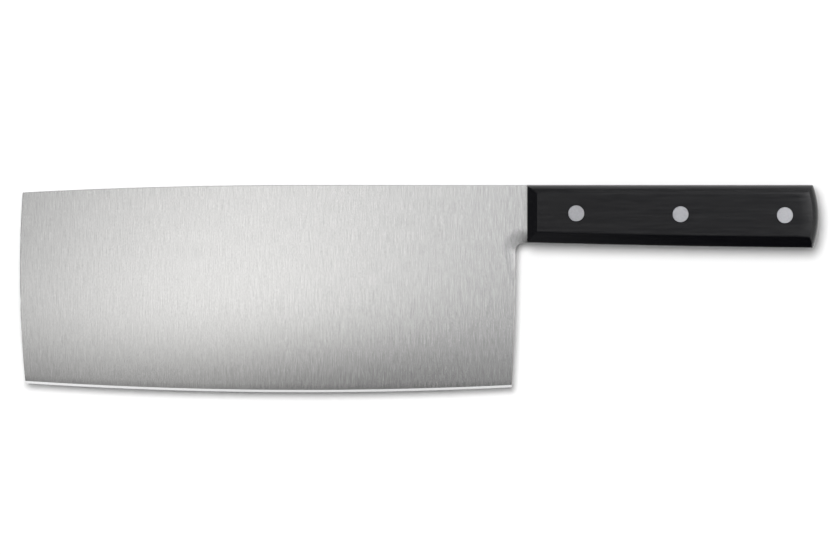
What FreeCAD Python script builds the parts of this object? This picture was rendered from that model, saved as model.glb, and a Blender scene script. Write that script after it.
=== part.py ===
import FreeCAD, Part
import math
import os
import re
from collections import namedtuple

import Sketcher

# A chinese cleaver with a full tang, lying on its right side: +X runs to the butt of the handle,
# +Y to the spine and +Z up from the table. Every piece is drawn from the point where the spine
# meets the front of the handle, in the middle of the steel, and then moved as one so that the
# origin is on the table under the middle of the knife.

# Driving dimensions in millimetres. The sheet holds them, one cell each.
SIZES = {
    # Outline of the blade, measured from the front of the handle and down from the spine
    "blade_length": 187.65,
    "blade_height": 76.7,
    "spine_straight": 82.0,
    "spine_radius": 2000.0,
    "nose_radius": 422.0,
    "nose_crest_drop": 31.7,
    "edge_radius": 1600.0,
    "edge_crest_setback": 82.4,
    "heel_radius": 1000.0,
    "neck_straight": 1.1,
    "neck_radius": 3.3,
    # Section of the blade
    "sheet_thickness": 2.2,
    "grind_skin": 0.03,
    "grind_height": 46.0,
    "edge_bevel_width": 0.85,
    "edge_shoulder_thickness": 0.46,
    "edge_land": 0.05,
    "arris_radius": 0.4,
    "neck_roll_width": 7.2,
    "neck_roll_depth": 0.45,
    "roll_inner_share": 0.8,
    # Outline of the handle, shared by the tang and both scales
    "handle_length": 107.75,
    "handle_front_height": 21.33,
    "handle_swell": 1.94,
    "swell_radius": 5560.0,
    "butt_radius": 33.0,
    "butt_corner_radius": 0.8,
    # Section of the scales
    "scale_thickness": 7.4,
    "bevel_depth": 2.6,
    "front_bevel": 3.5,
    "top_bevel": 3.0,
    "bottom_bevel": 4.0,
    "butt_bevel": 2.5,
    "front_arris_radius": 1.0,
    "top_arris_radius": 5.0,
    "bottom_arris_radius": 0.6,
    "butt_arris_radius": 5.0,
    "face_arris_radius": 1.0,
    "butt_roll_width": 5.5,
    "butt_roll_depth": 0.25,
    # Rivets and the holes that take them
    "rivet_front_setback": 18.1,
    "rivet_butt_setback": 12.55,
    "rivet_height_share": 0.487,
    "rivet_head_diameter": 5.9,
    "rivet_head_depth": 2.5,
    "rivet_shoulder": 0.8,
    "sleeve_wall": 0.78,
    "sleeve_floor": 1.6,
    "pin_tip_chamfer": 0.3,
    "rivet_end_gap": 0.4,
    "pin_fit": 0.02,
    "rivet_fit": 0.04,
    "tang_hole_fit": 0.15,
    # How far the crown of a roll stands over the face that it is rubbed off, so that they cross
    "roll_crown": 0.015,
    # How far every cut runs past the steel or the plastic
    "overrun": 2.0,
}

RIVETS = ("neck_rivet", "middle_rivet", "butt_rivet")
# By how much the cuts on the two sides of the blade may differ in volume
MIRROR_SLACK_SHARE = 0.01

# Sizes worked out from those above
HEEL_SETBACK = "(neck_straight + neck_radius)"
NECK_CENTRE_DROP = "(handle_front_height + neck_radius)"
GROUND_HALF = "(sheet_thickness / 2 - grind_skin)"
SCALE_TOP = "(sheet_thickness / 2 + scale_thickness)"
HANDLE_HEIGHT = "(handle_front_height + handle_swell)"
SWELL_CREST = "(handle_length / 2 + handle_swell * swell_radius / handle_length)"
SWELL_AXIS = f"(sqrt(swell_radius ^ 2 - {SWELL_CREST} ^ 2) - handle_front_height)"
BUTT_CORNER = f"(handle_length - butt_radius + sqrt(butt_radius ^ 2 - ({HANDLE_HEIGHT} / 2) ^ 2))"
RIVET_SPREAD = "(handle_length - rivet_front_setback - rivet_butt_setback)"
HEAD_RADIUS = "(rivet_head_diameter / 2)"
SLEEVE_RADIUS = f"({HEAD_RADIUS} - rivet_shoulder)"
BORE_RADIUS = f"({SLEEVE_RADIUS} - sleeve_wall)"
PIN_RADIUS = f"({BORE_RADIUS} - pin_fit)"
BORE_FLOOR = f"({SCALE_TOP} - sleeve_floor)"

# An outline is a ring of corners. A corner that isn't held is where two held arcs meet, and a smooth
# one is where two sides touch. Its side runs to the next corner, straight or along an arc about a
# centre, of which some axes are held.
Corner = namedtuple("Corner", "x y side held smooth", defaults=(None, True, False))
Arc = namedtuple("Arc", "x y radius held_axes", defaults=("",))

doc = FreeCAD.newDocument("chinese_cleaver")
sheet = doc.addObject("Spreadsheet::Sheet", "sizes")
for row, (alias, size) in enumerate(SIZES.items(), start=1):
    sheet.set(f"A{row}", alias)
    sheet.set(f"B{row}", str(size))
    sheet.setAlias(f"B{row}", alias)
doc.recompute()


def cells(expression):
    """The expression with the name of each size pointing at its cell in the sheet."""
    return re.sub(r"[a-z_]+", lambda word: f"sizes.{word[0]}" if word[0] in SIZES else word[0], expression)


def bind(thing, **expressions):
    """Ties properties of a feature to expressions in the sizes."""
    for name, expression in expressions.items():
        thing.setExpression(name, cells(expression))


def origin_plane(body, role):
    return next(plane for plane in body.Origin.OriginFeatures if plane.Role == role)


class Drawing:
    """A sketch on one of a body's own origin planes, whose shapes are held by the sizes."""

    def __init__(self, body, name, plane, **shift):
        self.sketch = body.newObject("Sketcher::SketchObject", name)
        self.sketch.AttachmentSupport = [(origin_plane(body, plane), "")]
        self.sketch.MapMode = "FlatFace"
        for axis, expression in shift.items():
            self.sketch.setExpression(f"AttachmentOffset.Base.{axis}", cells(expression))

    def measure(self, expression):
        return float(self.sketch.evalExpression(cells(expression)))

    def place(self, x, y):
        return FreeCAD.Vector(self.measure(x), self.measure(y), 0)

    def hold(self, kind, places, expression):
        """Adds a constraint of that kind, with its value tied to the expression."""
        rule = Sketcher.Constraint(kind, *places, self.measure(expression))
        index = self.sketch.addConstraint(rule)
        self.sketch.setExpression(f"Constraints[{index}]", cells(expression))

    def pin(self, shape, end, x, y, axes="xy"):
        """Holds a point of a shape at its distances from the sketch's origin."""
        for axis, kind, line, expression in (("x", "DistanceX", -2, x), ("y", "DistanceY", -1, y)):
            if axis not in axes:
                continue
            if expression == "0":
                self.sketch.addConstraint(Sketcher.Constraint("PointOnObject", shape, end, line))
            else:
                self.hold(kind, (-1, 1, shape, end), expression)

    def draw_side(self, start, end, arc):
        """Adds one side, and gives its number with the ends that are its start and its end."""
        if arc is None:
            return self.sketch.addGeometry(Part.LineSegment(start, end)), 1, 2
        centre = self.place(arc.x, arc.y)
        angles = [math.atan2(point.y - centre.y, point.x - centre.x) for point in (start, end)]
        backwards = (start - centre).cross(end - centre).z < 0
        if backwards:
            angles.reverse()
        circle = Part.Circle(centre, FreeCAD.Vector(0, 0, 1), self.measure(arc.radius))
        side = self.sketch.addGeometry(Part.ArcOfCircle(circle, *angles))
        self.pin(side, 3, arc.x, arc.y, arc.held_axes)
        self.hold("Radius", (side,), arc.radius)
        return (side, 2, 1) if backwards else (side, 1, 2)

    def outline(self, corners):
        """Draws a closed ring of corners."""
        points = [self.place(corner.x, corner.y) for corner in corners]
        sides = []
        for index, corner in enumerate(corners):
            end = points[(index + 1) % len(points)]
            sides.append(self.draw_side(points[index], end, corner.side))
        for index, corner in enumerate(corners):
            shape, first, _ = sides[index]
            before, _, last = sides[index - 1]
            joint = "Tangent" if corner.smooth else "Coincident"
            self.sketch.addConstraint(Sketcher.Constraint(joint, before, last, shape, first))
            if corner.held:
                self.pin(shape, first, corner.x, corner.y)

    def circle(self, x, y, diameter):
        ring = Part.Circle(self.place(x, y), FreeCAD.Vector(0, 0, 1), self.measure(diameter) / 2)
        shape = self.sketch.addGeometry(ring)
        self.pin(shape, 3, x, y)
        self.hold("Diameter", (shape,), diameter)


def new_body(name):
    body = doc.addObject("PartDesign::Body", name)
    body.Label = name
    return body


def feature(body, kind, name, drawing, **expressions):
    made = body.newObject(f"PartDesign::{kind}", name)
    made.Profile = drawing.sketch
    bind(made, **expressions)
    return made


def through_pocket(body, name, drawing):
    """Cuts right through the body to both sides of the drawing."""
    pocket = feature(body, "Pocket", name, drawing)
    pocket.Type = "ThroughAll"
    pocket.SideType = "Symmetric"
    return pocket


def turned_groove(body, name, drawing, angle):
    """Turns a cut about the upright axis of the drawing, by half the angle to each side."""
    groove = feature(body, "Groove", name, drawing, Angle=angle)
    groove.ReferenceAxis = (drawing.sketch, ["V_Axis"])
    groove.Midplane = True
    return groove


def fillet_edges(body, name, base, wanted, radius):
    """Rounds the edges of the base that the test picks."""
    doc.recompute()
    names = [f"Edge{number}" for number, edge in enumerate(base.Shape.Edges, start=1) if wanted(edge)]
    fillet = body.newObject("PartDesign::Fillet", name)
    fillet.Base = (base, names)
    bind(fillet, Radius=radius)
    return fillet


def rivet_place(number):
    """Where a rivet stands on the handle, as expressions: evenly between the two end rivets, and at
    a share of the height that the handle has there."""
    x = f"(rivet_front_setback + {RIVET_SPREAD} * {number} / {len(RIVETS) - 1})"
    return x, f"-rivet_height_share * (handle_front_height + handle_swell * {x} / handle_length)"


def handle_outline(body, name, **shift):
    """The side view that the tang shares with the scales."""
    drawing = Drawing(body, name, "XY_Plane", **shift)
    swell = Arc(SWELL_CREST, SWELL_AXIS, "swell_radius", "x")
    butt = Arc("handle_length - butt_radius", f"-{HANDLE_HEIGHT} / 2", "butt_radius", "xy")
    before_corner = f"{BUTT_CORNER} - butt_corner_radius"
    above_corner = f"butt_corner_radius - {HANDLE_HEIGHT}"
    low_corner = Arc(before_corner, above_corner, "butt_corner_radius")
    high_corner = Arc(before_corner, "-butt_corner_radius", "butt_corner_radius")
    met = {"held": False, "smooth": True}
    drawing.outline([
        Corner("0", "0"),
        Corner("0", "-handle_front_height", swell),
        Corner(before_corner, f"-{HANDLE_HEIGHT}", low_corner, **met),
        Corner(BUTT_CORNER, above_corner, butt, **met),
        Corner(BUTT_CORNER, "-butt_corner_radius", high_corner, **met),
        Corner(before_corner, "0", **met),
    ])
    top_line = 5
    drawing.sketch.addConstraint(Sketcher.Constraint("Horizontal", top_line))
    return drawing


def rivet_holes(body, name, diameter, **shift):
    drawing = Drawing(body, name, "XY_Plane", **shift)
    for number in range(len(RIVETS)):
        drawing.circle(*rivet_place(number), diameter)
    return drawing


def blade_outline(body):
    drawing = Drawing(body, "blade_outline", "XY_Plane")
    spine = Arc("-spine_straight", "-spine_radius", "spine_radius", "x")
    nose = Arc("nose_radius - blade_length", "-nose_crest_drop", "nose_radius", "xy")
    edge = Arc("-edge_crest_setback", "edge_radius - blade_height", "edge_radius", "xy")
    heel = Arc(f"-{HEEL_SETBACK} - heel_radius", f"-{NECK_CENTRE_DROP}", "heel_radius", "y")
    neck = Arc("-neck_straight", f"-{NECK_CENTRE_DROP}", "neck_radius")
    drawing.outline([
        Corner("0", "0"),
        Corner("-spine_straight", "0", spine),
        Corner("-blade_length", "0", nose, held=False),
        Corner("-blade_length", "-blade_height", edge, held=False),
        Corner(f"-{HEEL_SETBACK}", "-blade_height", heel, held=False),
        Corner(f"-{HEEL_SETBACK}", f"-{NECK_CENTRE_DROP}", neck),
        Corner("-neck_straight", "-handle_front_height"),
        Corner("0", "-handle_front_height"),
    ])
    return drawing


def ground_section(body):
    """What the grindstone takes off one side, in a plane through the axis of the edge's arc: a skin
    off the flat, a convex sweep down to the shoulder, and the bevel that makes the edge."""
    drawing = Drawing(
        body, "ground_section", "YZ_Plane", x="edge_radius - blade_height", z="-edge_crest_setback")
    fall = f"({GROUND_HALF} - edge_shoulder_thickness / 2)"
    run = "(grind_height - edge_bevel_width)"
    sweep_radius = f"(({run} ^ 2 + {fall} ^ 2) / (2 * {fall}))"
    past_edge = "-(edge_radius + overrun)"
    past_spine = "blade_height + overrun - edge_radius"
    bevel_slope = "((edge_shoulder_thickness - edge_land) / 2 / edge_bevel_width)"
    above = "sheet_thickness / 2 + overrun"
    sweep = Arc("grind_height - edge_radius", f"{GROUND_HALF} - {sweep_radius}", sweep_radius)
    drawing.outline([
        Corner(past_spine, GROUND_HALF),
        Corner("grind_height - edge_radius", GROUND_HALF, sweep),
        Corner("edge_bevel_width - edge_radius", "edge_shoulder_thickness / 2"),
        Corner(past_edge, f"edge_land / 2 - overrun * {bevel_slope}"),
        Corner(past_edge, above),
        Corner(past_spine, above),
    ])
    return drawing


def neck_roll_section(body):
    """What is rubbed off one side round the inner corner below the neck, where a finger rests. The
    roll leaves the sheet's own face at a slight angle and runs on past the wall of the neck."""
    drawing = Drawing(body, "neck_roll_section", "XZ_Plane", x="-neck_straight", z=NECK_CENTRE_DROP)
    roll_radius = "((neck_roll_width ^ 2 + neck_roll_depth ^ 2) / (2 * neck_roll_depth))"
    crown = "(sheet_thickness / 2 + roll_crown)"
    roll_centre = f"({crown} - {roll_radius})"
    outer = "(neck_radius + neck_roll_width)"
    inner = "(neck_radius * roll_inner_share)"
    low = f"({roll_centre} + sqrt({roll_radius} ^ 2 - ({outer} - {inner}) ^ 2))"
    above = "sheet_thickness / 2 + overrun"
    drawing.outline([
        Corner("0", low),
        Corner(inner, low, Arc(outer, roll_centre, roll_radius)),
        Corner(outer, crown),
        Corner(outer, above),
        Corner("0", above),
    ])
    return drawing


def make_blade():
    """Blade and tang in one piece of sheet steel."""
    body = new_body("blade")
    blank = feature(body, "Pad", "blank", blade_outline(body), Length="sheet_thickness")
    blank.SideType = "Symmetric"

    edge_axis = FreeCAD.Vector(-sheet.edge_crest_setback, sheet.edge_radius - sheet.blade_height, 0)

    def is_arris(edge):
        middle = edge.CenterOfMass
        on_flat = abs(abs(middle.z) - sheet.sheet_thickness / 2) < Part.Precision.confusion()
        curved = isinstance(edge.Curve, Part.Circle)
        is_cutting_edge = curved and (edge.Curve.Center - edge_axis).Length < sheet.sheet_thickness
        at_handle = abs(middle.x) < Part.Precision.confusion()
        return on_flat and not is_cutting_edge and not at_handle

    fillet_edges(body, "broken_arrises", blank, is_arris, "arris_radius")
    reach = "2 * atan(blade_length / edge_radius)"
    roll = turned_groove(body, "neck_roll", neck_roll_section(body), "360")
    grind = turned_groove(body, "ground_side", ground_section(body), reach)
    doc.recompute()
    other_side = body.newObject("PartDesign::Mirrored", "other_side")
    other_side.Originals = [roll, grind]
    other_side.MirrorPlane = (origin_plane(body, "XY_Plane"), [""])
    body.Tip = other_side

    tang = feature(body, "Pad", "tang", handle_outline(body, "tang_outline"), Length="sheet_thickness")
    tang.SideType = "Symmetric"
    holes = rivet_holes(body, "tang_hole_places", f"2 * ({SLEEVE_RADIUS} + tang_hole_fit)")
    through_pocket(body, "tang_holes", holes)
    return body


def bevel_section(body, edge, plane, wall, inward, side, **shift):
    """What is milled off one upper edge of a scale: a bevel with a rounded arris at the wall and
    another at the face. Wall is where the wall stands in the drawing and inward is 1 or -1."""
    drawing = Drawing(body, f"{edge}_bevel_section", plane, **shift)
    width = f"{edge}_bevel"
    arris = f"{edge}_arris_radius"
    slope = f"atan(bevel_depth / {width})"
    wall_run = f"({arris} * tan((90 deg - {slope}) / 2))"
    face_run = f"(face_arris_radius * tan({slope} / 2))"
    wall_height = f"({SCALE_TOP} - bevel_depth - {wall_run})"

    def across(distance):
        return f"{wall} + {inward} * ({distance})"

    def up(height):
        return f"{side} * ({height})"

    wall_arc = Arc(across(arris), up(wall_height), arris)
    face_arc = Arc(
        across(f"{width} + {face_run}"), up(f"{SCALE_TOP} - face_arris_radius"), "face_arris_radius")
    above = up(f"{SCALE_TOP} + overrun")
    drawing.outline([
        Corner(across("0"), up(wall_height), wall_arc),
        Corner(
            across(f"{wall_run} * cos({slope})"),
            up(f"{SCALE_TOP} - bevel_depth + {wall_run} * sin({slope})")),
        Corner(
            across(f"{width} - {face_run} * cos({slope})"),
            up(f"{SCALE_TOP} - {face_run} * sin({slope})"), face_arc),
        Corner(across(f"{width} + {face_run}"), up(SCALE_TOP)),
        Corner(across(f"{width} + {face_run}"), above),
        Corner(across("-overrun"), above),
        Corner(across("-overrun"), up(wall_height)),
    ])
    return drawing


def butt_roll_section(body, side, **shift):
    """What is rubbed off the face of a scale before the butt: a slight roll that leaves the face at
    a small angle and runs on over the bevel."""
    drawing = Drawing(body, "butt_roll_section", "XZ_Plane", **shift)
    roll_radius = "((butt_roll_width ^ 2 + butt_roll_depth ^ 2) / (2 * butt_roll_depth))"
    crown = f"({SCALE_TOP} + roll_crown)"
    roll_centre = f"({crown} - {roll_radius})"
    start = "butt_radius - butt_bevel - butt_roll_width"
    low = f"({roll_centre} + sqrt({roll_radius} ^ 2 - (butt_bevel + butt_roll_width) ^ 2))"
    above = f"{side} * ({SCALE_TOP} + overrun)"
    drawing.outline([
        Corner(start, f"{side} * {crown}", Arc(start, f"{side} * {roll_centre}", roll_radius)),
        Corner("butt_radius", f"{side} * {low}"),
        Corner("butt_radius", above),
        Corner(start, above),
    ])
    return drawing


def make_scale(name, side):
    """One scale of the handle. Side is 1 above the tang and -1 below it."""
    body = new_body(name)
    outline = handle_outline(body, "scale_outline", z=f"{side} * sheet_thickness / 2")
    slab = feature(body, "Pad", "slab", outline, Length="scale_thickness")
    slab.Reversed = side < 0

    top = bevel_section(body, "top", "YZ_Plane", "0", -1, side)
    through_pocket(body, "top_bevel_cut", top)
    front = bevel_section(body, "front", "XZ_Plane", "0", 1, side)
    through_pocket(body, "front_bevel_cut", front)
    bottom = bevel_section(
        body, "bottom", "YZ_Plane", "-swell_radius", 1, side, x=SWELL_AXIS, z=SWELL_CREST)
    turned_groove(body, "bottom_bevel_cut", bottom, f"4 * atan({SWELL_CREST} / swell_radius)")
    butt_axis = {"x": "handle_length - butt_radius", "z": f"{HANDLE_HEIGHT} / 2"}
    butt_turn = f"4 * atan({HANDLE_HEIGHT} / butt_radius)"
    butt = bevel_section(body, "butt", "XZ_Plane", "butt_radius", -1, side, **butt_axis)
    turned_groove(body, "butt_bevel_cut", butt, butt_turn)
    turned_groove(body, "butt_roll", butt_roll_section(body, side, **butt_axis), butt_turn)

    face = {"z": f"{side} * {SCALE_TOP}"}
    seats = rivet_holes(body, "head_seat_places", f"2 * ({HEAD_RADIUS} + rivet_fit)", **face)
    seat_cut = feature(body, "Pocket", "head_seats", seats, Length="rivet_head_depth")
    seat_cut.Reversed = side < 0
    shanks = rivet_holes(body, "shank_hole_places", f"2 * ({SLEEVE_RADIUS} + rivet_fit)")
    through_pocket(body, "shank_holes", shanks)
    return body


def make_turned(name, corners):
    """A piece turned about the axis of a rivet."""
    body = new_body(name)
    drawing = Drawing(body, "half_section", "XZ_Plane")
    drawing.outline(corners)
    turned = feature(body, "Revolution", "turned", drawing, Angle="360")
    turned.ReferenceAxis = (drawing.sketch, ["V_Axis"])
    return body


def make_sleeve(name):
    """The upper half of a rivet: a flush head on a tube with a blind bore."""
    shoulder = f"{SCALE_TOP} - rivet_head_depth"
    open_end = f"rivet_end_gap - ({shoulder})"
    return make_turned(name, [
        Corner("0", SCALE_TOP),
        Corner("0", BORE_FLOOR),
        Corner(BORE_RADIUS, BORE_FLOOR),
        Corner(BORE_RADIUS, open_end),
        Corner(SLEEVE_RADIUS, open_end),
        Corner(SLEEVE_RADIUS, shoulder),
        Corner(HEAD_RADIUS, shoulder),
        Corner(HEAD_RADIUS, SCALE_TOP),
    ])


def make_pin(name):
    """The lower half of a rivet: a flush head on a pin that is driven into the sleeve."""
    shoulder = f"rivet_head_depth - {SCALE_TOP}"
    tip = f"{BORE_FLOOR} - rivet_end_gap"
    return make_turned(name, [
        Corner("0", f"-{SCALE_TOP}"),
        Corner(HEAD_RADIUS, f"-{SCALE_TOP}"),
        Corner(HEAD_RADIUS, shoulder),
        Corner(PIN_RADIUS, shoulder),
        Corner(PIN_RADIUS, f"{tip} - pin_tip_chamfer"),
        Corner(f"{PIN_RADIUS} - pin_tip_chamfer", tip),
        Corner("0", tip),
    ])


def stand(body, x="0", y="0"):
    """Moves a piece from the neck of the knife to its place over the origin."""
    bind(body, **{
        "Placement.Base.x": f"{x} + (blade_length - handle_length) / 2",
        "Placement.Base.y": f"{y} + blade_height / 2",
        "Placement.Base.z": SCALE_TOP,
    })


def check(bodies):
    """Stops if anything failed to build, if a cut took nothing away or if two sides differ."""
    for thing in doc.Objects:
        if {"Invalid", "Error"} & set(thing.State):
            raise RuntimeError(f"{thing.Label} failed to build: {thing.State}")
        if thing.isDerivedFrom("PartDesign::Feature"):
            if not thing.Shape.isValid() or len(thing.Shape.Solids) != 1:
                raise RuntimeError(f"{thing.Label} is not one sound solid")
        if thing.TypeId in ("PartDesign::Pocket", "PartDesign::Groove"):
            if not thing.Shape.Volume < thing.BaseFeature.Shape.Volume:
                raise RuntimeError(f"{thing.Label} cuts nothing")
        if thing.TypeId == "PartDesign::Mirrored":
            whole = thing.Originals[0].BaseFeature.Shape.Volume
            one_side = whole - thing.Originals[-1].Shape.Volume
            if not math.isclose(whole - thing.Shape.Volume, 2 * one_side, rel_tol=MIRROR_SLACK_SHARE):
                raise RuntimeError(f"{thing.Label} isn't cut like the first side")
    for body in bodies:
        if body.Shape.isNull() or not body.Shape.isValid() or len(body.Shape.Solids) != 1:
            raise RuntimeError(f"{body.Label} is not one sound solid")


pieces = [make_blade(), make_scale("left_scale", 1), make_scale("right_scale", -1)]
for piece in pieces:
    stand(piece)
for number, rivet in enumerate(RIVETS):
    for piece in (make_sleeve(f"{rivet}_sleeve"), make_pin(f"{rivet}_pin")):
        stand(piece, *rivet_place(number))
        pieces.append(piece)
doc.recompute()
check(pieces)

os.makedirs("parts", exist_ok=True)
for piece in pieces:
    piece.Shape.exportStep(f"parts/{piece.Label}.step")
    box = piece.Shape.optimalBoundingBox(False)
    extents = " x ".join(f"{length:.2f}" for length in (box.XLength, box.YLength, box.ZLength))
    print(f"{piece.Label}: {piece.Shape.Volume:.1f} mm3, {extents} mm")
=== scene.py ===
import math
from types import SimpleNamespace

import bmesh
import bpy
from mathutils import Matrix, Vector


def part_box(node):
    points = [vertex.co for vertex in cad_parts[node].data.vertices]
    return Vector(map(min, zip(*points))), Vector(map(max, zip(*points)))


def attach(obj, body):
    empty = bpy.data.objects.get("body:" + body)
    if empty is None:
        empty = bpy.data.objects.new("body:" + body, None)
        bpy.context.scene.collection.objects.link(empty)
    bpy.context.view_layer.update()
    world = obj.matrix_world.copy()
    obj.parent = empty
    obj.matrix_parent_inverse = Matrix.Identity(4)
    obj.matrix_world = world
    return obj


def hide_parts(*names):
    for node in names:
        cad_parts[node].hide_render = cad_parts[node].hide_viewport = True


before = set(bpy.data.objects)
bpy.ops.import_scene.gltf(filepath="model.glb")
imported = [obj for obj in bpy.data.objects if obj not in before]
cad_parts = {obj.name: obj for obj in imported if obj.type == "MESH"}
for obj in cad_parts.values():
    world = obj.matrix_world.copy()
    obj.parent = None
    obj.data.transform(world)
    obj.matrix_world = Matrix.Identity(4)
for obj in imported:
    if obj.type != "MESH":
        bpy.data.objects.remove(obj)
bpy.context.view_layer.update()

bl_info = {
    "name": "Chinese cleaver",
    "version": (1, 0, 0),
    "blender": (4, 5, 0),
    "location": "View3D > Sidebar > Cleaver",
    "description": "Makes the pieces of a chinese cleaver, and its stage",
    "category": "Object",
}

# Pieces are drawn from where the spine meets the front of the handle, in the middle of the steel,
# with +X to the butt, +Y to the spine and +Z out of the left side. Lengths are metres.
BLADE_LOW, BLADE_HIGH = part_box("blade")
SCALE_LOW, SCALE_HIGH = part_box("left_scale")
NECK = Vector((SCALE_LOW.x, BLADE_HIGH.y, (BLADE_LOW.z + BLADE_HIGH.z) / 2))
RIVETS = ("neck_rivet", "middle_rivet", "butt_rivet")


def middle_of(node):
    low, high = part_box(node)
    return (low + high) / 2


FIRST_RIVET = middle_of("neck_rivet_sleeve") - NECK
LAST_RIVET = middle_of("butt_rivet_sleeve") - NECK
HEAD_LOW, HEAD_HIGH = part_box("neck_rivet_sleeve")


def length(name, default, description):
    return bpy.props.FloatProperty(
        name=name, description=description, default=default, unit="LENGTH", subtype="DISTANCE",
        precision=5)


def colour(name, default, description):
    return bpy.props.FloatVectorProperty(
        name=name, description=description, default=default, subtype="COLOR", size=3, min=0, max=1)


def share(name, default, description):
    return bpy.props.FloatProperty(
        name=name, description=description, default=default, subtype="FACTOR", min=0, max=1)


def strength(name, default, description):
    return bpy.props.FloatProperty(name=name, description=description, default=default, min=0)


class BladeSizes(bpy.types.PropertyGroup):
    """Outline and section of the blade, and the tang's thickness."""
    long: length("Length", NECK.x - BLADE_LOW.x, "From the nose to the front of the handle")
    high: length("Height", BLADE_HIGH.y - BLADE_LOW.y, "From the spine to the edge's lowest point")
    spine_straight: length("Straight spine", 0.082, "Straight run of the spine before it falls")
    spine_radius: length("Spine radius", 2.0, "Radius on which the spine falls to the nose")
    nose_radius: length("Nose radius", 0.422, "Radius of the nose in side view")
    nose_drop: length("Nose crest", 0.0317, "How far below the spine the nose stands out most")
    edge_radius: length("Edge radius", 1.6, "Radius of the cutting edge in side view")
    edge_setback: length("Edge crest", 0.0824, "How far before the handle the edge is lowest")
    heel_radius: length("Heel radius", 1.0, "Radius of the heel in side view")
    neck_straight: length("Neck run", 0.0011, "Straight run from the handle to the corner below")
    neck_radius: length("Neck radius", 0.0033, "Radius of the inner corner below the handle")
    thick: length("Thickness", BLADE_HIGH.z - BLADE_LOW.z, "Thickness of the sheet and the tang")
    skin: length("Ground skin", 0.00003, "What the grinding takes off each flat side")
    grind_height: length("Grind height", 0.046, "How far above the edge the blade starts to thin")
    bevel_width: length("Edge bevel", 0.00085, "Width of the bevel that makes the edge")
    shoulder: length("Shoulder thickness", 0.00046, "Thickness at the top of the edge bevel")
    land: length("Edge land", 0.00005, "Thickness of the edge itself")
    arris: length("Broken arris", 0.0004, "Radius that blunts the arrises of spine, nose and heel")
    roll_width: length("Finger roll", 0.0072, "Width of the roll rubbed round the inner corner")
    roll_depth: length("Roll depth", 0.00045, "Depth of that roll at the corner's wall")
    roll_crown: length("Roll crown", 0.000015, "How far that roll's crown stands over the sheet")
    roll_run: length("Roll run-out", 0.04, "How far down the heel that roll dies away")
    roll_left: share("Roll at the heel", 0.4, "Share of that roll's width that the heel keeps")
    narrow_high: length("Narrowing start", 0.008, "How far above the corner its narrowing starts")
    narrow_low: length("Narrowing end", 0.022, "How far below the corner that roll is narrowest")


class HandleSizes(bpy.types.PropertyGroup):
    """Side view of the handle, which the tang shares with the scales."""
    long: length("Length", SCALE_HIGH.x - SCALE_LOW.x, "From the front of the scales to the butt")
    front_high: length("Front height", 0.02133, "Height of the handle where the blade starts")
    swell: length("Swell", 0.00194, "How much deeper the handle is at the butt")
    swell_radius: length("Swell radius", 5.56, "Radius of the underside in side view")
    butt_radius: length("Butt radius", 0.033, "Radius of the butt in side view")
    corner: length("Butt corners", 0.0008, "Radius of the two corners of the butt")


class ScaleSizes(bpy.types.PropertyGroup):
    """Section of a scale: its bevels, the radii of their arrises and the roll before the butt."""
    thick: length("Thickness", SCALE_HIGH.z - SCALE_LOW.z, "Thickness of one scale")
    bevel_depth: length("Bevel depth", 0.0026, "How far the bevels reach down from the face")
    front_bevel: length("Front bevel", 0.0035, "Width of the bevel facing the blade")
    top_bevel: length("Top bevel", 0.003, "Width of the bevel along the spine side")
    bottom_bevel: length("Bottom bevel", 0.004, "Width of the bevel along the finger side")
    butt_bevel: length("Butt bevel", 0.0025, "Width of the bevel round the butt")
    front_arris: length("Front arris", 0.001, "Between the front wall and its bevel")
    top_arris: length("Top arris", 0.005, "Between the top wall and its bevel")
    bottom_arris: length("Bottom arris", 0.0006, "Between the bottom wall and its bevel")
    butt_arris: length("Butt arris", 0.005, "Between the butt and its bevel")
    face_arris: length("Face arris", 0.001, "Between the bevels and the face")
    roll_width: length("Butt roll", 0.0055, "Width of the roll of the face before the butt bevel")
    roll_depth: length("Roll depth", 0.00025, "Depth of that roll at the butt bevel")
    roll_crown: length("Roll crown", 0.000015, "How far that roll's crown stands over the face")


class RivetSizes(bpy.types.PropertyGroup):
    """Section of the two halves of a rivet."""
    head_wide: length("Head diameter", HEAD_HIGH.x - HEAD_LOW.x, "Diameter of the flush heads")
    head_deep: length("Head depth", 0.0025, "Thickness of the heads")
    rim: length("Head rim", 0.00006, "Edge break round the heads")
    step: length("Shoulder", 0.0008, "How far the head stands out from the sleeve")
    wall: length("Sleeve wall", 0.00078, "Wall of the sleeve round the pin")
    floor: length("Bore floor", 0.0016, "Metal left between the bore and the head's face")
    end_gap: length("End gap", 0.0004, "Room left at the ends of the sleeve and the pin")
    pin_fit: length("Pin fit", 0.00002, "Gap between the pin and the bore")
    seat_fit: length("Seat fit", 0.00004, "Gap between the rivet and the scales")


class Finishes(bpy.types.PropertyGroup):
    """Colours and gloss of the steel, plastic and rivets."""
    steel: colour("Steel", (0.66, 0.66, 0.66), "Colour of the ground steel")
    steel_rough: share("Steel roughness", 0.197, "Roughness of the ground steel")
    steel_grain: share("Steel grain", 0.33, "How much grinding marks stretch reflections")
    plastic: colour("Plastic", (0.0016, 0.0016, 0.0026), "Colour of the scales")
    plastic_rough: share("Plastic roughness", 0.22, "Roughness of the scales and their coat")
    plastic_gloss: share("Plastic gloss", 0.28, "Strength of the scales' own reflections")
    plastic_coat: share("Plastic coat", 0.14, "Strength of the polish on them")
    rivet: colour("Rivet", (0.435, 0.437, 0.457), "Colour of the rivet heads")
    rivet_rough: share("Rivet roughness", 0.38, "Roughness of the rivet heads")


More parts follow.
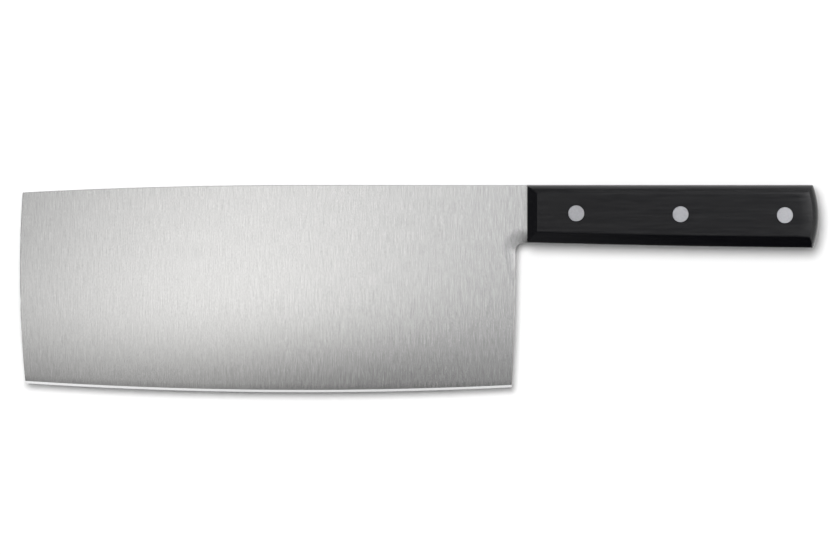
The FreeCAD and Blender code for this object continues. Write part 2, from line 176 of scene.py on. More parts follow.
class StageSettings(bpy.types.PropertyGroup):
    """Floor, light and camera."""
    floor: colour("Floor", (0.96, 0.96, 0.96), "Colour of the floor")
    floor_wide: length("Floor width", 24.0, "Side of the square floor")
    ambient: share("Room light", 0.3, "Light that comes from all round")
    key_power: bpy.props.FloatProperty(
        name="Key light", description="Power of the soft light", default=88.0, unit="POWER")
    key_wide: length("Key width", 1.3, "Width of the soft light")
    key_place: bpy.props.FloatVectorProperty(
        name="Key place", description="Where the soft light hangs", default=(-0.29, 0.58, 3.1),
        size=3, unit="LENGTH", subtype="TRANSLATION")
    camera_high: length("Camera height", 6.0, "Height of the camera above the blade")
    view_wide: length("View width", 0.3082, "What the picture takes in across, at the blade")
    view_x: length("View centre X", -0.00097, "Middle of the picture along the knife")
    view_y: length("View centre Y", 0.0041, "Middle of the picture across the knife")


class RoomLights(bpy.types.PropertyGroup):
    """Strengths and tints of the lights in the room that the knife reflects."""
    everywhere: strength("Everywhere", 0.02, "Light from all over the room")
    overhead: strength("Overhead", 0.148, "Even part of the soft light")
    hot_spot: strength("Hot spot", 1.523, "Bright oval in it, over the blade")
    right: strength("Right", 0.868, "What it gains towards the butt")
    heel_shade: share("Heel shade", 0.85, "What it loses beyond the heel")
    side: strength("Side light", 5.0, "Light beyond the butt")
    walls: strength("Walls", 0.6, "Walls round the soft light")
    nose_wall: strength("Nose wall", 0.5, "Wall before the nose")
    nose_card: strength("Nose card", 0.36, "What a dark card takes off that wall")
    back_wall: strength("Back wall", 0.22, "Wall behind the spine")
    back_glow: strength("Back glow", 0.42, "Band of light before that wall")
    fill: strength("Fill", 0.5, "Light below the handle")
    strip: strength("Strip", 1.5, "Strip that the edge bevel reflects")
    warm: colour("Warm tint", (1.0, 0.991, 0.972), "Tint of the hot spot")
    cool: colour("Cool tint", (0.993, 0.995, 1.0), "Tint of all other light")


class CleaverSettings(bpy.types.PropertyGroup):
    """All sizes and finishes of the cleaver."""
    blade: bpy.props.PointerProperty(type=BladeSizes)
    handle: bpy.props.PointerProperty(type=HandleSizes)
    scales: bpy.props.PointerProperty(type=ScaleSizes)
    rivets: bpy.props.PointerProperty(type=RivetSizes)
    finishes: bpy.props.PointerProperty(type=Finishes)
    stage: bpy.props.PointerProperty(type=StageSettings)
    room: bpy.props.PointerProperty(type=RoomLights)


def reckoning(operation):
    """A method that adds a Math node to a socket's graph."""
    return lambda value, *others: value.graph.reckon(operation, value, *others)


class Value:
    """An output socket. Reckoning with it adds Math nodes to its graph."""
    __add__ = __radd__ = reckoning("ADD")
    __mul__ = __rmul__ = reckoning("MULTIPLY")
    __sub__ = reckoning("SUBTRACT")
    __truediv__ = reckoning("DIVIDE")
    __lt__ = reckoning("LESS_THAN")
    power = reckoning("POWER")
    root = reckoning("SQRT")
    sine = reckoning("SINE")
    cosine = reckoning("COSINE")
    rounded = reckoning("ROUND")
    size = reckoning("ABSOLUTE")
    at_most = reckoning("MINIMUM")
    at_least = reckoning("MAXIMUM")

    def __init__(self, graph, socket):
        self.graph = graph
        self.socket = socket

    def output(self, name):
        """Another output of the same node."""
        return Value(self.graph, self.socket.node.outputs[name])

    def __rsub__(self, other):
        return self.graph.reckon("SUBTRACT", other, self)

    def __neg__(self):
        return 0 - self

    def squared(self):
        return self * self

    def arc(self, along):
        """How high an arc of this radius is above its centre, so far along from its crest."""
        return (self.squared() - along.squared()).root()

    def rise(self, start, end, shape="LINEAR"):
        """0 up to the start and 1 from the end on, in a straight line between them."""
        return self.graph.add("ShaderNodeMapRange", {
            "Value": self, "From Min": start, "From Max": end}, interpolation_type=shape)

    def smooth_rise(self, start, end):
        """The same, in an S between them."""
        return self.rise(start, end, "SMOOTHSTEP")

    def smooth_fall(self, start, end):
        """The same from 1 down to 0."""
        return 1 - self.smooth_rise(start, end)

    def band(self, start, full, fade, end):
        """0 outside the start and the end and 1 from full to fade."""
        return self.smooth_rise(start, full) * self.smooth_fall(fade, end)


class Graph:
    """A node tree that is written as expressions."""

    def __init__(self, tree):
        self.tree = tree

    def add(self, kind, sockets, out=0, **settings):
        """Adds a node with its settings and sockets. Gives one of its outputs, if it has any."""
        node = self.tree.nodes.new(kind)
        for name, setting in settings.items():
            if name == "items":
                for _ in range(len(node.index_switch_items), setting):
                    node.index_switch_items.new()
            else:
                setattr(node, name, setting)
        for name, value in sockets.items():
            if isinstance(value, (Value, list)):
                for one in value if isinstance(value, list) else [value]:
                    self.tree.links.new(one.socket, node.inputs[name])
            else:
                node.inputs[name].default_value = value
        return Value(self, node.outputs[out]) if node.outputs else None

    def reckon(self, operation, *terms):
        return self.add("ShaderNodeMath", dict(enumerate(terms)), operation=operation)

    def vector(self, x, y, z):
        return self.add("ShaderNodeCombineXYZ", {"X": x, "Y": y, "Z": z})

    def parts(self, vector):
        split = self.add("ShaderNodeSeparateXYZ", {"Vector": vector}, "X")
        return split, split.output("Y"), split.output("Z")


QUARTER = math.pi / 2

# Points closer than this are joined
WELD = 1e-6

# Rows of the blade's grid, from the edge up, and its columns from the nose to the butt
LOWER_ROWS, NECK_ROWS, UPPER_ROWS, ARRIS_STEPS = 64, 8, 26, 4
BODY_COLUMNS, TANG_COLUMNS = 140, 72

# Powers that draw the columns together at the heel and apart at the front of the tang
BODY_SPACING, TANG_SPACING = 1.5, 0.8

# How far a corner of the butt reaches along its sides, as a share of its radius
CORNER_REACH = 0.7

# Steps round a rivet and its holes
ROUND_STEPS = 64

# The UV map that gives the grinding marks their direction
SIDE_VIEW = "side_view"


def sizes_of(group):
    """The names and values of a property group's sizes."""
    names = (one.identifier for one in group.bl_rna.properties)
    return {name: getattr(group, name) for name in names if name not in ("rna_type", "name")}


def new_object(name, data, *unseen):
    """A new object in the scene that some rays don't see."""
    thing = bpy.data.objects.new(name, data)
    bpy.context.scene.collection.objects.link(thing)
    for rays in unseen:
        setattr(thing, f"visible_{rays}", False)
    return thing


def object_of(shape, name, material, *unseen):
    """Turns a bmesh into a new object of one material and frees it."""
    mesh = bpy.data.meshes.new(name)
    shape.to_mesh(mesh)
    shape.free()
    mesh.materials.append(material)
    return new_object(name, mesh, *unseen)


def spread(start, end, count):
    """So many even steps from the start, short of the end."""
    return [start + (end - start) * n / count for n in range(count)]


class ShapeTree(Graph):
    """A Geometry Nodes tree whose inputs are the sizes of property groups."""

    def __init__(self, name, **groups):
        super().__init__(bpy.data.node_groups.new(name, "GeometryNodeTree"))
        face = self.tree.interface
        face.new_socket("Mesh", in_out="OUTPUT", socket_type="NodeSocketGeometry")
        self.sizes = {}
        for key, group in groups.items():
            for size, value in sizes_of(group).items():
                label = f"{key} {group.bl_rna.properties[size].name}".capitalize()
                socket = face.new_socket(label, in_out="INPUT", socket_type="NodeSocketFloat")
                self.sizes[socket.identifier] = value
        inputs = iter(self.tree.nodes.new("NodeGroupInput").outputs)
        for key, group in groups.items():
            setattr(self, key, SimpleNamespace(**{
                size: Value(self, next(inputs)) for size in sizes_of(group)}))

    def finish(self, mesh, material):
        """Ends the tree with real geometry in one material."""
        real = self.add("GeometryNodeRealizeInstances", {"Geometry": mesh})
        dressed = self.add("GeometryNodeSetMaterial", {"Geometry": real, "Material": material})
        self.add("NodeGroupOutput", {"Mesh": dressed})

    def make(self, name):
        """Runs the tree and gives its result as a new object with a plain mesh."""
        piece = new_object(name, bpy.data.meshes.new(name))
        modifier = piece.modifiers.new("shape", "NODES")
        modifier.node_group = self.tree
        for identifier, value in self.sizes.items():
            modifier[identifier] = value
        shaped = piece.evaluated_get(bpy.context.evaluated_depsgraph_get())
        mesh = bpy.data.meshes.new_from_object(shaped)
        piece.modifiers.remove(modifier)
        piece.data = mesh
        mesh.name = name
        if not mesh.polygons:
            raise RuntimeError(f"{name} came out empty")
        return piece

    def grid(self, columns, rows):
        """A flat grid, with the numbers of each point's column and row."""
        mesh = self.add("GeometryNodeMeshGrid", {
            "Size X": 1.0, "Size Y": 1.0, "Vertices X": columns + 1, "Vertices Y": rows + 1})
        x, y, _ = self.parts(self.add("GeometryNodeInputPosition", {}))
        return mesh, ((x + 0.5) * columns).rounded(), ((y + 0.5) * rows).rounded()

    def moved(self, mesh, position):
        return self.add("GeometryNodeSetPosition", {"Geometry": mesh, "Position": position})

    def joined(self, *meshes):
        one = self.add("GeometryNodeJoinGeometry", {"Geometry": list(meshes)})
        return self.add("GeometryNodeMergeByDistance", {"Geometry": one, "Distance": WELD})


def closed_sheet(tree, face):
    """Closes a face drawn on the left side of the middle plane with its mirror image and a wall."""
    x, y, z = tree.parts(tree.add("GeometryNodeInputPosition", {}))
    mirrored = tree.vector(x, y, -z)
    far = tree.add("GeometryNodeFlipFaces", {"Mesh": tree.moved(face, mirrored)})
    faces_at_edge = tree.add("GeometryNodeInputMeshEdgeNeighbors", {})
    wall = tree.add("GeometryNodeExtrudeMesh", {
        "Mesh": face, "Selection": faces_at_edge < 1.5, "Offset Scale": 0.0}, mode="EDGES")
    walled = tree.add("GeometryNodeSetPosition", {
        "Geometry": wall, "Selection": wall.output("Top"), "Position": mirrored})
    return tree.joined(walled, far)


def blade_tree(blade_sizes, handle_sizes, material):
    """The tree of the blade and tang. The blade is a grid from nose to heel and from edge to spine
    that is as high as the ground section. The tang goes on from its upper rows."""
    tree = ShapeTree("blade_shape", blade=blade_sizes, handle=handle_sizes)
    blade, handle = tree.blade, tree.handle
    neck_drop = handle.front_high + blade.neck_radius
    flat = blade.thick / 2 - blade.skin

    def edge_y(x):
        return blade.edge_radius - blade.high - blade.edge_radius.arc(x + blade.edge_setback)

    def spine_y(x):
        past = (x + blade.spine_straight).at_most(0)
        return blade.spine_radius.arc(past) - blade.spine_radius

    def nose_x(y):
        return blade.nose_radius - blade.long - blade.nose_radius.arc(y + blade.nose_drop)

    def heel_x(y):
        past = (y + neck_drop).at_most(0)
        bow = blade.heel_radius.arc(past) - blade.heel_radius
        return bow - blade.neck_radius - blade.neck_straight

    def between(x):
        """Height between the edge's shoulder and the arris of the spine."""
        return spine_y(x) - blade.arris - edge_y(x) - blade.bevel_width

    def half_thickness(x, y, *arrises):
        """Half the blade's thickness: flat, convex sweep and edge bevel, less the finger roll and
        the arrises, each of which is given by how far it has turned."""
        off_axis = y + blade.high - blade.edge_radius
        from_axis = (x + blade.edge_setback).squared() + off_axis.squared()
        above = blade.edge_radius - from_axis.root()
        swept = (blade.grind_height - above).at_least(0) / (blade.grind_height - blade.bevel_width)
        sweep = flat - (flat - blade.shoulder / 2) * swept.squared()
        bevel = blade.land / 2 + above * (blade.shoulder - blade.land) / (2 * blade.bevel_width)

        over = y + neck_drop
        out = ((x + blade.neck_straight).squared() + over.at_least(0).squared()).root()
        kept = over.smooth_rise(-blade.narrow_low, blade.narrow_high)
        wide = blade.roll_width * (blade.roll_left + kept * (1 - blade.roll_left))
        into = (blade.neck_radius + wide - out).at_least(0).at_most(blade.roll_width)
        radius = blade.roll_width.squared() + blade.roll_depth.squared()
        radius /= 2 * blade.roll_depth
        fallen = (radius - radius.arc(into)) * over.smooth_rise(-blade.roll_run, 0.0)
        roll = blade.thick / 2 + blade.roll_crown - fallen

        half = sweep.at_most(bevel).at_most(roll)
        for turned in arrises:
            blunted = blade.arris * (1 - (turned * QUARTER).cosine())
            half = half.at_most(blade.thick / 2 - blunted)
        return half

    def eased(step):
        """Closer at both ends."""
        return 0.5 - (step * math.pi).cosine() * 0.5

    upper_start = 2 + LOWER_ROWS + NECK_ROWS
    rows = upper_start + UPPER_ROWS + ARRIS_STEPS
    columns = BODY_COLUMNS + 2 * ARRIS_STEPS
    mesh, column, row = tree.grid(columns, rows)

    lower = row.rise(1, 1 + LOWER_ROWS)
    neck = row.rise(1 + LOWER_ROWS, 1 + LOWER_ROWS + NECK_ROWS) * QUARTER
    step = row.rise(upper_start - 1, upper_start)
    upper = eased(row.rise(upper_start, upper_start + UPPER_ROWS))
    top = row.rise(rows - ARRIS_STEPS, rows)
    even = row.rise(1, rows - ARRIS_STEPS)
    lift = blade.bevel_width * row.rise(0, 1)
    crown = blade.arris * (top * QUARTER).sine()

    # Where a row meets the nose and the heel is found in two rounds
    left = -blade.long
    for _ in range(2):
        left = nose_x(edge_y(left) + lift + between(left) * even + crown)
    heel = -blade.neck_radius
    for _ in range(2):
        heel = heel_x(edge_y(heel))

    shoulder = edge_y(heel) + blade.bevel_width
    right_y = shoulder + (-neck_drop - shoulder) * lower + blade.neck_radius * neck.sine()
    right_y += (handle.front_high - blade.arris) * upper
    right = heel_x(right_y) + blade.neck_radius * (1 - neck.cosine()) + blade.neck_straight * step
    right_share = ((right_y - edge_y(right) - blade.bevel_width) / between(right)).at_least(0)

    at_nose = column.rise(0, ARRIS_STEPS)
    at_heel = column.rise(columns - ARRIS_STEPS, columns)
    body = 1 - (1 - column.rise(ARRIS_STEPS, columns - ARRIS_STEPS)).power(BODY_SPACING)
    x = left + blade.arris * (1 - (at_nose * QUARTER).cosine())
    x += blade.arris * (at_heel * QUARTER).sine() + (right - left - 2 * blade.arris) * body
    along = (x - left) / (right - left)
    y = edge_y(x) + lift + between(x) * (even + (right_share - even) * along) + crown
    below_neck = 1 - row.rise(1 + LOWER_ROWS, 2 + LOWER_ROWS)
    half = half_thickness(x, y, top, 1 - at_nose, at_heel * below_neck)
    sheet = tree.moved(mesh, tree.vector(x, y, half))

    mesh, column, row = tree.grid(TANG_COLUMNS, UPPER_ROWS + ARRIS_STEPS)
    upper = eased(row.rise(0, UPPER_ROWS))
    top = row.rise(UPPER_ROWS, UPPER_ROWS + ARRIS_STEPS)
    rise = (handle.front_high - blade.arris) * upper + blade.arris * (top * QUARTER).sine()
    below_top = 1 - rise / handle.front_high
    crest = handle.long / 2 + handle.swell * handle.swell_radius / handle.long
    depth = handle.front_high + handle.swell
    axis = handle.swell_radius.arc(crest) - handle.front_high

    butt_y = -depth * below_top
    to_side = butt_y.size().at_most((butt_y + depth).size())
    near_corner = (1 - to_side / handle.corner).at_least(0)
    trimmed = handle.corner * (1 - (1 - near_corner.squared()).root()) * CORNER_REACH
    bow = handle.butt_radius.arc(butt_y + depth / 2) - handle.butt_radius
    reach = eased(column.rise(0, TANG_COLUMNS)).power(TANG_SPACING)
    x = (handle.long + bow - trimmed) * reach
    bottom = axis - handle.swell_radius.arc(x - crest)
    y = bottom * below_top
    joint = half_thickness(x, y, top)
    half = joint + (blade.thick / 2 - joint) * column.rise(0, 1)
    tang = tree.moved(mesh, tree.vector(x, y, half))

    solid = closed_sheet(tree, tree.joined(sheet, tang))
    placed = tree.add("GeometryNodeTransform", {"Geometry": solid, "Translation": NECK})
    tree.finish(placed, material)
    return tree


def rivet_profiles(rivet, face):
    """Radius and height of each corner of the two halves of a rivet, as they are turned. The face
    is the height of the scales' faces above the middle of the tang."""
    head = rivet.head_wide / 2
    flat = head - rivet.rim
    sleeve = head - rivet.step
    bore = sleeve - rivet.wall
    pin = bore - rivet.pin_fit
    shoulder = face - rivet.head_deep
    sleeve_end = rivet.end_gap - shoulder
    bore_end = face - rivet.floor
    pin_end = bore_end - rivet.end_gap
    return {
        "sleeve": [
            (0.0, face), (flat, face), (head, face - rivet.rim), (head, shoulder),
            (sleeve, shoulder), (sleeve, sleeve_end), (bore, sleeve_end), (bore, bore_end),
            (0.0, bore_end)],
        "pin": [
            (0.0, -face), (flat, -face), (head, rivet.rim - face), (head, -shoulder),
            (pin, -shoulder), (pin, pin_end - rivet.end_gap), (pin - rivet.end_gap, pin_end),
            (0.0, pin_end)],
    }


def rivet_tree(sizes, half, face, material):
    """The tree that turns one half of a rivet and sets it in a row along the handle."""
    tree = ShapeTree(f"rivet_{half}_row", rivet=sizes)
    corners = rivet_profiles(tree.rivet, face)[half]
    mesh, corner, turn = tree.grid(len(corners) - 1, ROUND_STEPS)
    radius, height = (
        tree.add("GeometryNodeIndexSwitch", {
            "Index": corner, **{str(n): pair[which] for n, pair in enumerate(corners)}},
            data_type="FLOAT", items=len(corners))
        for which in (0, 1))
    angle = turn * (2 * math.pi / ROUND_STEPS)
    turned = tree.moved(mesh, tree.vector(radius * angle.cosine(), radius * angle.sine(), height))
    pitch = (LAST_RIVET - FIRST_RIVET) / (len(RIVETS) - 1)
    row = tree.add("GeometryNodeMeshLine", {
        "Count": len(RIVETS),
        "Start Location": NECK + Vector((FIRST_RIVET.x, FIRST_RIVET.y, 0)),
        "Offset": Vector((pitch.x, pitch.y, 0))}, mode="OFFSET")
    rivets = tree.add("GeometryNodeInstanceOnPoints", {
        "Points": row, "Instance": tree.joined(turned)})
    tree.finish(rivets, material)
    return tree


class ScaleDraft:
    """Draws one scale of the handle as rings of points, from the tang up over the bevels."""

    EDGES = ("front", "top", "bottom", "butt")
    FRONT_POINTS, LONG_POINTS, BUTT_POINTS, CORNER_POINTS = 10, 56, 20, 4
    ARRIS_RINGS, BEVEL_RINGS, FACE_RINGS, ROLL_RINGS = 32, 4, 10, 8

    # How far the last ring stands in from the rim of the face, but for the butt
    FACE_BORDER = 0.0004

    # How far below the face the closest rings start, as a share of the face arris
    FACE_START = 0.4

    # The inset at which a corner of the butt is smallest, and what is left of it, as shares
    CORNER_END, CORNER_LEFT = 0.2, 0.03

    def __init__(self, handle, scale, blade, rivets):
        self.handle = handle
        self.scale = scale
        self.rivets = rivets
        self.base = blade.thick / 2
        self.top = self.base + scale.thick
        self.depth = handle.front_high + handle.swell
        self.crest = handle.long / 2 + handle.swell * handle.swell_radius / handle.long
        self.axis = math.sqrt(handle.swell_radius ** 2 - self.crest ** 2) - handle.front_high
        self.roll_radius = (scale.roll_width ** 2 + scale.roll_depth ** 2) / (2 * scale.roll_depth)

    def bevel(self, edge):
        """Width, slope and arris of the bevel along an edge, and the height of the wall below."""
        width = getattr(self.scale, f"{edge}_bevel")
        arris = getattr(self.scale, f"{edge}_arris")
        slope = math.atan2(self.scale.bevel_depth, width)
        wall = self.top - self.scale.bevel_depth - arris * math.tan((QUARTER - slope) / 2)
        return width, slope, arris, wall

    def inset(self, edge, height):
        """How far the side at an edge stands back at a height."""
        width, slope, arris, wall = self.bevel(edge)
        face_arris = self.scale.face_arris
        face_run = face_arris * math.tan(slope / 2)
        if height <= wall:
            return 0.0
        if height < wall + arris * math.cos(slope):
            return arris - math.sqrt(arris ** 2 - (height - wall) ** 2)
        if height < self.top - face_run * math.sin(slope):
            return (height - self.top + self.scale.bevel_depth) * width / self.scale.bevel_depth
        rise = height - self.top + face_arris
        return width + face_run - math.sqrt(max(face_arris ** 2 - rise ** 2, 0.0))

    def heights(self):
        """Heights of the rings: close together where the arrises turn."""
        bevels = [self.bevel(edge) for edge in self.EDGES]
        wall = min(wall for _, _, _, wall in bevels)
        bevel = max(wall + arris * math.cos(slope) for _, slope, arris, wall in bevels)
        face = self.top - self.scale.face_arris * self.FACE_START
        rising = spread(wall, bevel, self.ARRIS_RINGS) + spread(bevel, face, self.BEVEL_RINGS)
        closing = [self.top - (self.top - face) * n ** 2 for n in spread(1, 0, self.FACE_RINGS)]
        return [self.base] + rising + closing + [self.top]

    def bottom_y(self, x, inset):
        radius = self.handle.swell_radius - inset
        return self.axis - math.sqrt(radius ** 2 - (x - self.crest) ** 2)

    def butt_x(self, y, inset):
        radius = self.handle.butt_radius - inset
        past_axis = math.sqrt(radius ** 2 - (y + self.depth / 2) ** 2)
        return self.handle.long - self.handle.butt_radius + past_axis

    def rolled_height(self, x, y):
        """Height of the face, which rolls down a little before the butt."""
        past_axis = max(x - self.handle.long + self.handle.butt_radius, 0.0)
        out = math.hypot(past_axis, y + self.depth / 2)
        start = self.handle.butt_radius - self.scale.butt_bevel - self.scale.roll_width
        into = max(out - start, 0.0)
        crown = self.top + self.scale.roll_crown
        return crown - self.roll_radius + math.sqrt(self.roll_radius ** 2 - into ** 2)

    def ring(self, height, rolled=0.0):
        """The outline at a height, from the top front corner round by the bottom and the butt. On
        the face, rolled is the share of the roll before the butt that it has crossed."""
        handle = self.handle
        borders = {"butt": self.scale.roll_width}
        front, top, bottom, butt = (
            self.inset(edge, height) + rolled * borders.get(edge, self.FACE_BORDER)
            for edge in self.EDGES)
        left = max(1 - butt / (self.CORNER_END * handle.corner), self.CORNER_LEFT)
        corner = CORNER_REACH * handle.corner * left
        low_x = self.butt_x(self.bottom_y(handle.long, bottom), butt)
        low_y = self.bottom_y(low_x, bottom)
        high_x = self.butt_x(-top, butt)

        def bend(before, tip, after):
            """A rounded corner from one point to another, short of its tip."""
            points = [before]
            for n in range(1, self.CORNER_POINTS):
                t = n / self.CORNER_POINTS
                weights = ((1 - t) ** 2, 2 * t * (1 - t), t ** 2)
                points.append(tuple(
                    sum(w * p[axis] for w, p in zip(weights, (before, tip, after)))
                    for axis in (0, 1)))
            return points

        low_from, low_to = low_x - corner, low_y + corner
        high_from, high_to = -top - corner, high_x - corner
        low_corner = bend(
            (low_from, self.bottom_y(low_from, bottom)), (low_x, low_y),
            (self.butt_x(low_to, butt), low_to))
        high_corner = bend(
            (self.butt_x(high_from, butt), high_from), (high_x, -top), (high_to, -top))
        return [
            *((front, y) for y in spread(-top, self.bottom_y(front, bottom), self.FRONT_POINTS)),
            *((x, self.bottom_y(x, bottom)) for x in spread(front, low_from, self.LONG_POINTS)),
            *low_corner,
            *((self.butt_x(y, butt), y) for y in spread(low_to, high_from, self.BUTT_POINTS)),
            *high_corner,
            *((x, -top) for x in spread(high_to, front, self.LONG_POINTS))]

    def make(self, name, side, material):
        """Makes the scale as a new object. Side is 1 on the blade's left and -1 on its right."""
        shape = bmesh.new()

        def loop(points, height):
            return [
                shape.verts.new((x, y, side * min(height, self.rolled_height(x, y))))
                for x, y in points]

        def bridge(first, second):
            for n, corner in enumerate(first):
                shape.faces.new((first[n - 1], corner, second[n], second[n - 1]))

        def fill(loops):
            edges = []
            for ring in loops:
                for n, corner in enumerate(ring):
                    ends = (ring[n - 1], corner)
                    edges.append(shape.edges.get(ends) or shape.edges.new(ends))
            bmesh.ops.triangle_fill(shape, use_beauty=True, edges=edges, normal=(0, 0, 1))

        rings = [loop(self.ring(height), height) for height in self.heights()]
        for n in range(self.ROLL_RINGS):
            rings.append(loop(self.ring(self.top, (n + 1) / self.ROLL_RINGS), self.top))
        for lower, upper in zip(rings, rings[1:]):
            bridge(lower, upper)

        seat = self.rivets.head_wide / 2 + self.rivets.seat_fit
        shank = seat - self.rivets.step
        floor = self.top - self.rivets.head_deep
        levels = ((seat, self.top), (seat, floor), (shank, floor), (shank, self.base))
        angles = spread(0.0, 2 * math.pi, ROUND_STEPS)
        seats, holes = [], []
        for rivet in RIVETS:
            middle = middle_of(f"{rivet}_sleeve") - NECK
            steps = [
                loop([(middle.x + r * math.cos(a), middle.y + r * math.sin(a)) for a in angles], h)
                for r, h in levels]
            for upper, lower in zip(steps, steps[1:]):
                bridge(upper, lower)
            seats.append(steps[0])
            holes.append(steps[-1])
        fill([rings[-1]] + seats)
        fill([rings[0]] + holes)
        bmesh.ops.remove_doubles(shape, verts=shape.verts, dist=WELD)
        bmesh.ops.recalc_face_normals(shape, faces=shape.faces)
        bmesh.ops.translate(shape, verts=shape.verts, vec=NECK)
        return object_of(shape, name, material)


def lay_side_view(piece):
    """Gives a piece its side view as a UV map."""
    mesh = piece.data
    side_view = mesh.uv_layers.new(name=SIDE_VIEW)
    for corner in mesh.loops:
        side_view.data[corner.index].uv = mesh.vertices[corner.vertex_index].co.xy


def settle(piece, slot, crease, *nodes):
    """Smooths a piece but for creases sharper than an angle in degrees, and sets it in the frame in
    place of its CAD nodes."""
    piece.data.polygons.foreach_set("use_smooth", [True] * len(piece.data.polygons))
    piece.data.set_sharp_from_angle(angle=math.radians(crease))
    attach(piece, "root")
    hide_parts(*nodes)


class Finish(Graph):
    """A material that is reckoned from Object coordinates."""

    def __init__(self, name):
        self.material = bpy.data.materials.new(name)
        self.material.use_nodes = True
        super().__init__(self.material.node_tree)
        self.tree.nodes.clear()
        self.position = self.add("ShaderNodeTexCoord", {}, "Object")

    def noise(self, stretch, detail=2.0):
        """Noise about 0, with so many waves to the metre along X, Y and Z."""
        place = self.add("ShaderNodeMapping", {"Vector": self.position, "Scale": stretch})
        return self.add("ShaderNodeTexNoise", {
            "Vector": place, "Scale": 1.0, "Detail": detail}, "Fac") - 0.5

    def shade(self, colour, factor):
        """A colour times a number that varies over the surface."""
        return self.add("ShaderNodeVectorMath", {
            0: colour, "Scale": factor}, operation="SCALE")

    def bump(self, height, distance, strength):
        return self.add("ShaderNodeBump", {
            "Height": height, "Distance": distance, "Strength": strength})

    def end(self, shader):
        """Ends the material in a shader."""
        self.add("ShaderNodeOutputMaterial", {"Surface": shader})
        return self.material

    def surface(self, **sockets):
        """Ends the material in a Principled shader with those sockets."""
        names = {key: key.replace("_", " ").title() for key in sockets}
        names["specular"] = "Specular IOR Level"
        return self.end(self.add("ShaderNodeBsdfPrincipled", {
            names[key]: value for key, value in sockets.items()}))


# Painted shade in a band above the edge bevel, standing in for the darker reflection near the edge:
# how high that reaches and how much darker it is
PAINTED_SHADE_HIGH, PAINTED_SHADE_DARK = 0.0028, 0.18

# How much smoother the honed edge bevel is, and the blur of its limit as a share of its width
HONED_SMOOTHER, HONED_BLUR = 0.04, 0.1


def ground_steel(finishes, blade):
    """Steel ground across the blade, with a honed edge bevel and a band of painted shade above it.
    """
    steel = Finish("ground_steel")
    x, y, _ = steel.parts(steel.position)
    fine = steel.noise((5000, 180, 5000), detail=1.0)
    long = steel.noise((1500, 40, 1500))
    speck = steel.noise((4500, 1000, 4500), detail=1.0)
    cloud = steel.noise((30, 18, 30), detail=1.0)
    from_axis = (x - NECK.x + blade.edge_setback).squared()
    from_axis += (y - NECK.y + blade.high - blade.edge_radius).squared()
    above = blade.edge_radius - from_axis.root()
    bevel = blade.bevel_width
    ground = above.smooth_rise(bevel * (1 - HONED_BLUR), bevel * (1 + HONED_BLUR))
    # Painted shade: the base colour darkens in a band above the edge bevel
    painted_edge_shade = above.smooth_fall(bevel, bevel + PAINTED_SHADE_HIGH)
    grain = fine * 0.5 + speck * 0.3 + long * 0.02 + cloud * 0.03
    tone = 1 + (grain - painted_edge_shade * PAINTED_SHADE_DARK) * ground
    rough = finishes.steel_rough + fine * 0.06 + long * 0.02 - (1 - ground) * HONED_SMOOTHER
    height = fine * 0.8 + long * 0.2
    return steel.surface(
        base_color=steel.shade(tuple(finishes.steel), tone), metallic=1.0, roughness=rough,
        anisotropic=finishes.steel_grain,
        tangent=steel.add("ShaderNodeTangent", {}, direction_type="UV_MAP", uv_map=SIDE_VIEW),
        normal=steel.bump(height, distance=0.00002, strength=0.3))


def rubbed_plastic(finishes):
    """Black plastic rubbed along the handle."""
    plastic = Finish("rubbed_black_plastic")
    fine = plastic.noise((140, 3600, 3600), detail=3.0)
    long = plastic.noise((35, 1400, 1400))
    speck = plastic.noise((3500, 3500, 3500), detail=1.0)
    rough = finishes.plastic_rough + fine * 0.14 + long * 0.1
    coat = finishes.plastic_coat + fine * 0.75 + long * 0.6 + speck * 0.2
    height = fine * 0.5 + long * 0.3 + speck * 0.2
    return plastic.surface(
        base_color=(*finishes.plastic, 1.0), roughness=rough, specular=finishes.plastic_gloss,
        coat_weight=coat, coat_roughness=finishes.plastic_rough,
        normal=plastic.bump(height, distance=0.00002, strength=0.4))


def matt_metal(finishes):
    """Rivet metal, ground flush and left matt."""
    metal = Finish("matt_rivet_metal")
    grit = metal.noise((1500, 1500, 1500))
    blotch = metal.noise((700, 700, 700))
    tone = 1 + grit * 0.4 + blotch * 0.12
    rough = finishes.rivet_rough + grit * 0.15
    return metal.surface(
        base_color=metal.shade(tuple(finishes.rivet), tone), metallic=1.0, roughness=rough,
        normal=metal.bump(grit, distance=0.00003, strength=0.4))


class CLEAVER_OT_blade(bpy.types.Operator):
    """Make the blade with its tang, ground from the flat down to the edge"""
    bl_idname = "cleaver.make_blade"
    bl_label = "Make Blade"

    def execute(self, context):
        settings = context.scene.cleaver
        steel = ground_steel(settings.finishes, settings.blade)
        blade = blade_tree(settings.blade, settings.handle, steel).make("ground_blade")
        lay_side_view(blade)
        settle(blade, "blade_steel", 10, "blade")
        return {"FINISHED"}


class CLEAVER_OT_scales(bpy.types.Operator):
    """Make the two bevelled scales of the handle"""
    bl_idname = "cleaver.make_scales"
    bl_label = "Make Scales"

    def execute(self, context):
        settings = context.scene.cleaver
        plastic = rubbed_plastic(settings.finishes)
        draft = ScaleDraft(settings.handle, settings.scales, settings.blade, settings.rivets)
        for node, side in (("left_scale", 1), ("right_scale", -1)):
            scale = draft.make(f"bevelled_{node}", side, plastic)
            settle(scale, "scale_plastic", 25, node)
        return {"FINISHED"}


class CLEAVER_OT_rivets(bpy.types.Operator):
    """Make the row of rivets, each a sleeve with a pin driven into it"""
    bl_idname = "cleaver.make_rivets"
    bl_label = "Make Rivets"

    def execute(self, context):
        settings = context.scene.cleaver
        metal = matt_metal(settings.finishes)
        face = settings.blade.thick / 2 + settings.scales.thick
        for half in ("sleeve", "pin"):
            row = rivet_tree(settings.rivets, half, face, metal).make(f"rivet_{half}_row")
            settle(row, "rivet_metal", 30, *(f"{rivet}_{half}" for rivet in RIVETS))
        return {"FINISHED"}


